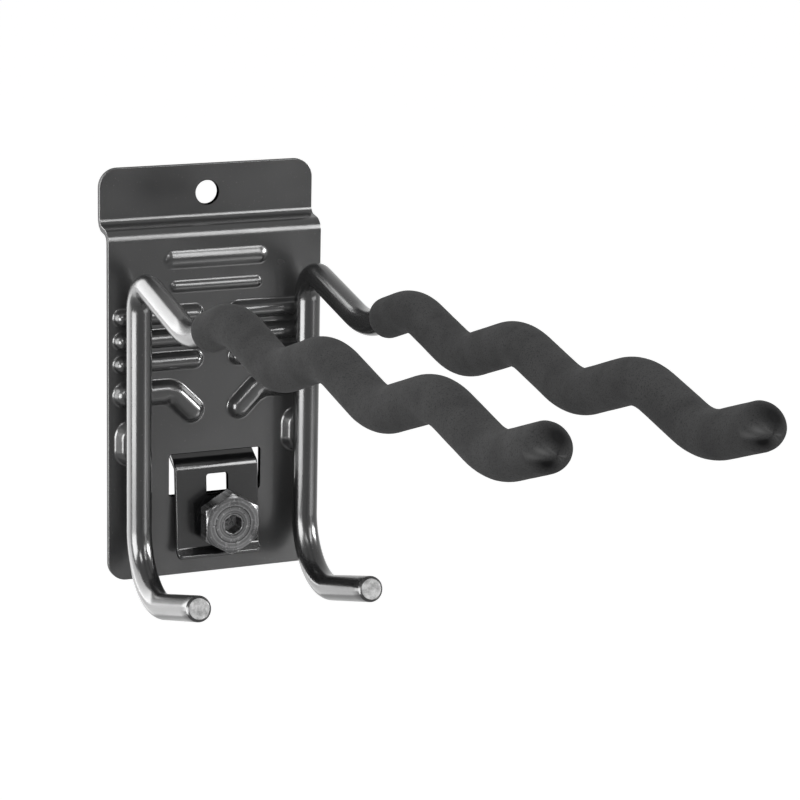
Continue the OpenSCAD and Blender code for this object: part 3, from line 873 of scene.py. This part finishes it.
def make_foam(side, name, seed):
    path = arm_path([trough(0) + Vector((FOAM_START_RUN, FOAM_START_RUN * WAVE_SLOPE))], [0.0])

    def lumps(s, a):
        """The skin is a little uneven."""
        p = Vector((cos(a) * 0.8, sin(a) * 0.8, s / 11 + seed))
        return 1 + 0.008 * noise.noise(p) + 0.004 * noise.noise(p * 3.1)

    rings = [(BORE_DEPTH, BORE_R, None), (0.8, BORE_R, None), (0.3, BORE_R + 0.06, None),
             (0.05, BORE_R + 0.25, None)]
    rings += [(FOAM_EDGE_R * (1 - sin(a)), FOAM_R - FOAM_EDGE_R * (1 - cos(a)), lumps)
              for a in map(radians, range(90, 0, -15))]
    rings += [(s, FOAM_R, lumps) for s in path.stations(3, 1.5) if s > FOAM_EDGE_R + 0.5]
    verts, faces = tube(side * ROD_X, path, rings, FOAM_SIDES)
    painted_light_values = [0.0] * len(verts)
    painted_light_values += close_foam(side * ROD_X, path, lumps, verts, faces)
    piece = make_piece(name, verts, faces, [FOAM], "bracket", "foam", name.replace("_skin", ""))
    piece.data.attributes.new(PAINTED_LIGHT, "FLOAT", "POINT").data.foreach_set("value", painted_light_values)


# ---- The cam ----


def lathe(x, profile, verts, faces, sides=64):
    """Turns a profile of (radius, distance in front of the wall) about an axis at x."""
    first = len(verts)
    for r, y in profile:
        for k in range(sides):
            a = tau * k / sides
            verts.append(place(x + r * cos(a), -y, PIVOT_Z + r * sin(a)))
    faces += bands(first, len(profile), sides)


def polar(r, degrees):
    angle = radians(degrees)
    return Vector((cos(angle), sin(angle))) * r


def hexagon(af, corner_r, per_corner=4, per_side=8):
    """A hexagon with rounded corners and flats at both sides, as points about its middle."""
    found = []
    corner = (af / 2 - corner_r) / cos(radians(30))
    for middle in range(30, 390, 60):
        found += [polar(corner, middle) + polar(corner_r, middle - 30 + 60 * k / per_corner)
                  for k in range(per_corner + 1)]
        stop = polar(corner, middle + 60) + polar(corner_r, middle + 30)
        start = found[-1]
        found += [start.lerp(stop, k / per_side) for k in range(1, per_side)]
    return found


def make_cam():
    verts, faces = [], []
    outline = hexagon(HEX_AF, HEX_CORNER_R)
    inner_outline = [p * (1 - HEX_EDGE_R / p.length) for p in outline]
    socket = hexagon(SOCKET_AF, SOCKET_CORNER_R)
    socket_back = HEX_FRONT - SOCKET_DEPTH
    flat_r = HEX_AF / 2
    slope = tan(radians(HEX_CHAMFER))

    def ring(points, depth_of):
        for p in points:
            verts.append(place(PIVOT_X + p.x, -depth_of(p), PIVOT_Z + p.y))

    def circle_ring(r, depth):
        ring([p.normalized() * r for p in outline], lambda p: depth)

    def cone(p):
        return HEX_FRONT - max(0.0, p.length - flat_r + HEX_EDGE_R) * slope

    ring([p * 0.02 for p in socket], lambda p: socket_back - SOCKET_CONE)
    ring([p * 0.98 for p in socket], lambda p: socket_back)
    ring(socket, lambda p: socket_back + 0.1)
    ring(socket, lambda p: HEX_FRONT - 0.08)
    for r in (SOCKET_AF / 2 + SOCKET_RIM, 4.6, 6.0, 7.5, flat_r - 0.35):
        circle_ring(r, HEX_FRONT)
    circle_ring(flat_r - 0.2, HEX_FRONT - 0.03)
    ring(inner_outline, lambda p: cone(p) - 0.02)
    ring(outline, lambda p: cone(p) - 0.2)
    ring(outline, lambda p: HEX_BACK + HEX_EDGE_R)
    ring(inner_outline, lambda p: HEX_BACK)
    circle_ring(COLLAR_R - 1, HEX_BACK)
    count = len(outline)
    faces += bands(0, len(verts) // count, count, flip=True)
    cap(verts, faces, 0, place(PIVOT_X, SOCKET_CONE - socket_back, PIVOT_Z), count, True)
    lathe(PIVOT_X, [
        (COLLAR_R - 1, HEX_BACK + 0.01), (COLLAR_R - 0.2, HEX_BACK + 0.01),
        (COLLAR_R, HEX_BACK - 0.2), (COLLAR_R, COLLAR_BACK + 0.2),
        (COLLAR_R - 0.2, COLLAR_BACK), (2.0, COLLAR_BACK)], verts, faces)
    journal_back = PLATE_T + PIN_CLEAR
    lathe(0, [
        (2.0, COLLAR_BACK + 0.01), (JOURNAL_R, COLLAR_BACK + 0.01),
        (JOURNAL_R, journal_back + 0.2), (JOURNAL_R - 0.2, journal_back),
        (1.0, journal_back)], verts, faces)
    lathe(PIVOT_X, [
        (1.0, journal_back + 0.01), (PIN_R, journal_back + 0.01), (PIN_R, TAIL_H),
        (PIN_R + TAIL_H - PIN_CLEAR, PIN_CLEAR), (0.2, PIN_CLEAR)], verts, faces)
    make_piece("lock_cam_skin", verts, faces, [CAM_STEEL], "cam", "cam_steel", "lock_cam", sharp=20)


# ---- Floor, world and lamps, in metres and degrees ----

FLOOR_HALF, FLOOR_Z, FLOOR_GLOW = 9.0, -0.72, 0.52
WORLD_LIGHT = 0.6

# Soft boxes: azimuth from the front, towards +X; elevation; distance; width; height; radiance
REFLECTED = {
    "left_box": (-65, 2, 2.0, 1.42, 1.35, 17.0),
    "left_rear_box": (-129, 19, 2.0, 2.4, 2.0, 6.2),
    "left_rear_low_box": (-122, -14, 1.9, 1.7, 0.6, 5.5),
    "rear_low_box": (-160, -22, 1.15, 0.6, 0.6, 1.4),
    "right_strip": (39.5, 0, 1.9, 0.26, 1.3, 4.2),
    "right_low_box": (45, -27, 1.12, 0.75, 0.42, 4.2),
    "front_top_box": (25, 28, 2.0, 0.35, 1.1, 16.0),
    "right_top_box": (64, 13, 2.0, 0.9, 0.6, 40.0),
    "left_top_box": (-27, 36, 2.0, 0.5, 0.6, 14.0),
}
KEY_LIGHT = (-30, 50, 2.5, 1.6, 1.6, 0.9)
WATTS_PER_RADIANCE = 4                   # for each square metre of a lamp


def make_floor():
    """A white floor that glows in what the camera and reflections see, and not in its light."""
    mesh = bpy.data.meshes.new("floor")
    corners = [(-1, -1), (1, -1), (1, 1), (-1, 1)]
    mesh.from_pydata([(x * FLOOR_HALF, y * FLOOR_HALF, FLOOR_Z) for x, y in corners], [],
                     [(0, 1, 2, 3)])
    floor = add_object("floor", mesh)
    floor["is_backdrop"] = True
    material = bpy.data.materials.new("floor")
    material.use_nodes = True
    nodes, links = material.node_tree.nodes, material.node_tree.links
    nodes.remove(nodes["Principled BSDF"])
    diffuse = nodes.new("ShaderNodeBsdfDiffuse")
    diffuse.inputs["Color"].default_value = (0.8, 0.8, 0.8, 1)
    glow = nodes.new("ShaderNodeEmission")
    glow.inputs["Strength"].default_value = FLOOR_GLOW
    add = nodes.new("ShaderNodeAddShader")
    links.new(diffuse.outputs[0], add.inputs[0])
    links.new(glow.outputs[0], add.inputs[1])
    mix_seen(material.node_tree, diffuse, add, "Material Output")
    mesh.materials.append(material)


def make_world():
    """A white world that looks brighter than the light it gives."""
    world = bpy.data.worlds.new("studio")
    bpy.context.scene.world = world
    world.use_nodes = True
    nodes = world.node_tree.nodes
    lit = nodes["Background"]
    seen = nodes.new("ShaderNodeBackground")
    for background, strength in ((lit, WORLD_LIGHT), (seen, 1.0)):
        background.inputs["Color"].default_value = (1, 1, 1, 1)
        background.inputs["Strength"].default_value = strength
    mix_seen(world.node_tree, lit, seen, "World Output")


def mix_seen(tree, unseen, seen, output):
    """Sets a tree's surface, to look different to the camera, glossy surfaces and glass."""
    path = tree.nodes.new("ShaderNodeLightPath")
    factor = path.outputs["Is Camera Ray"]
    for other in ("Is Glossy Ray", "Is Transmission Ray"):
        either = tree.nodes.new("ShaderNodeMath")
        either.operation = "MAXIMUM"
        tree.links.new(factor, either.inputs[0])
        tree.links.new(path.outputs[other], either.inputs[1])
        factor = either.outputs[0]
    mix = tree.nodes.new("ShaderNodeMixShader")
    tree.links.new(factor, mix.inputs[0])
    tree.links.new(unseen.outputs[0], mix.inputs[1])
    tree.links.new(seen.outputs[0], mix.inputs[2])
    tree.links.new(mix.outputs[0], tree.nodes[output].inputs["Surface"])


def area_lamp(name, azimuth, elevation, distance, width, height, radiance, diffuse):
    data = bpy.data.lights.new(name, "AREA")
    data.shape = "RECTANGLE"
    data.size, data.size_y = width, height
    data.energy = radiance * width * height * WATTS_PER_RADIANCE
    lamp = add_object(name, data)
    az, el = radians(azimuth), radians(elevation)
    way = Vector((sin(az) * cos(el), -cos(az) * cos(el), sin(el)))
    lamp.matrix_world = (Matrix.Translation(way * distance)
                         @ way.to_track_quat("Z", "Y").to_matrix().to_4x4())
    lamp.visible_camera = False
    lamp.visible_diffuse = diffuse
    lamp.visible_glossy = not diffuse


def make_lights():
    make_world()
    for name, numbers in REFLECTED.items():
        area_lamp(name, *numbers, diffuse=False)
    area_lamp("key_light", *KEY_LIGHT, diffuse=True)


# ---- Where things show in the image ----


class View:
    """What the camera sees of the finished pieces."""

    def __init__(self, camera):
        self.eye = camera.matrix_world.translation
        self.inverse = camera.matrix_world.inverted()
        verts, faces = [], []
        self.verts = {}
        bpy.context.view_layer.update()
        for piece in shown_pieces():
            if piece.hide_render or piece.type != "MESH":
                continue
            points = [piece.matrix_world @ v.co for v in piece.data.vertices]
            self.verts[piece.name] = points
            first = len(verts)
            verts += points
            faces += [[first + i for i in p.vertices] for p in piece.data.polygons]
        self.tree = BVHTree.FromPolygons(verts, faces)

    def pixel(self, point):
        local = self.inverse @ point
        scale = IMAGE * CAMERA["lens"] / CAMERA["sensor_width"]
        return IMAGE / 2 + local.x / -local.z * scale, IMAGE / 2 - local.y / -local.z * scale

    def shows(self, point):
        """Whether nothing hides the point; a surface less than 0.8 mm before it doesn't."""
        way = point - self.eye
        hit, _, _, distance = self.tree.ray_cast(self.eye, way.normalized())
        return hit is None or distance > way.length - 0.8 * MM

    def shown(self, name, keep=lambda p: True):
        return [self.pixel(p) for p in self.verts[name] if keep(p) and self.shows(p)]


def middle(pixels):
    xs, ys = zip(*pixels)
    return (min(xs) + max(xs)) / 2, (min(ys) + max(ys)) / 2


def measure_points(view):
    """What the image points show in the finished scene, and how far off that is, in pixels."""
    found = {}
    everything = [p for name in view.verts for p in view.shown(name)]
    xs, ys = zip(*everything)
    found["object_left_x"], found["object_right_x"] = (min(xs), None), (max(xs), None)
    found["object_top_y"], found["object_bottom_y"] = (None, min(ys)), (None, max(ys))
    plate = "back_plate_skin"
    low = view.shown(plate, lambda p: abs(p.z - place(0, 0, 70).z) < 0.006)
    found["plate_left_x"] = (min(x for x, _ in low), None)
    hole = place(0, 0, SCREW_HOLE_Z)
    found["screw_hole"] = middle([
        view.pixel(p) for p in view.verts[plate]
        if abs(hypot(p.x - hole.x, p.z - hole.z) - SCREW_HOLE_R * MM) < 0.05 * MM])
    for side, name in ((-1, "window_top_left"), (1, "window_top_right")):
        found[name] = view.pixel(place(side * WINDOW_W / 2, -PLATE_T, WINDOW_Z + WINDOW_H))
    hole = place(0, 0, PEEP_Z)
    found["clip_hole"] = middle([
        view.pixel(p) for p in view.verts["lock_clip_skin"]
        if abs(p.x) < (PEEP_W / 2 + 0.05) * MM and p.y < 0
        and abs(p.z - hole.z) < (PEEP_H / 2 + 0.1) * MM])
    found["hex_front"] = middle([view.pixel(p) for p in view.verts["lock_cam_skin"]
                                 if p.y < -(HEX_FRONT - 0.35) * MM])
    for side, name in ((-1, "left"), (1, "right")):
        tip = place(side * ROD_X, -ROD_Y - PRONG_REACH, PRONG_Z + PRONG_RISE)
        found[name + "_prong_end"] = middle([
            view.pixel(p) for p in view.verts[name + "_arm_rod_skin"]
            if (p - tip).length < (ROD_R + 0.3) * MM])
        foam = name + "_arm_foam_skin"
        shown = view.shown(foam)
        right_x = max(x for x, _ in shown)
        if name == "left":
            found["left_foam_tip_x"] = (right_x, None)
        first = [y for x, y in shown if x < view.pixel(view.verts[foam][0])[0] + 90]
        found[name + "_foam_first_top_y"] = (None, min(first))
        last = [y for x, y in shown if x > right_x - 110]
        found[name + "_foam_last_bottom_y"] = (None, max(last))
    report = {}
    for name, point in POINTS.items():
        report[name] = {"point": point, "shows": found[name], "off": [
            None if a is None or b is None else round(b - a, 2)
            for a, b in zip(point, found[name])]}
    return report


# ---- The scene ----

bpy.context.scene.view_settings.view_transform = "Standard"
make_plate()
make_clip()
for side, side_name, seed in ((-1, "left", 3.0), (1, "right", 47.0)):
    make_rod(side, side_name + "_arm_rod_skin")
    make_foam(side, side_name + "_arm_foam_skin", seed)
    weld_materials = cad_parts[side_name + "_rod_welds"].data.materials
    weld_materials.clear()
    weld_materials.append(PLATE_PAINT)
make_cam()
make_floor()
make_lights()
view = View(make_camera())
measure_points(view)
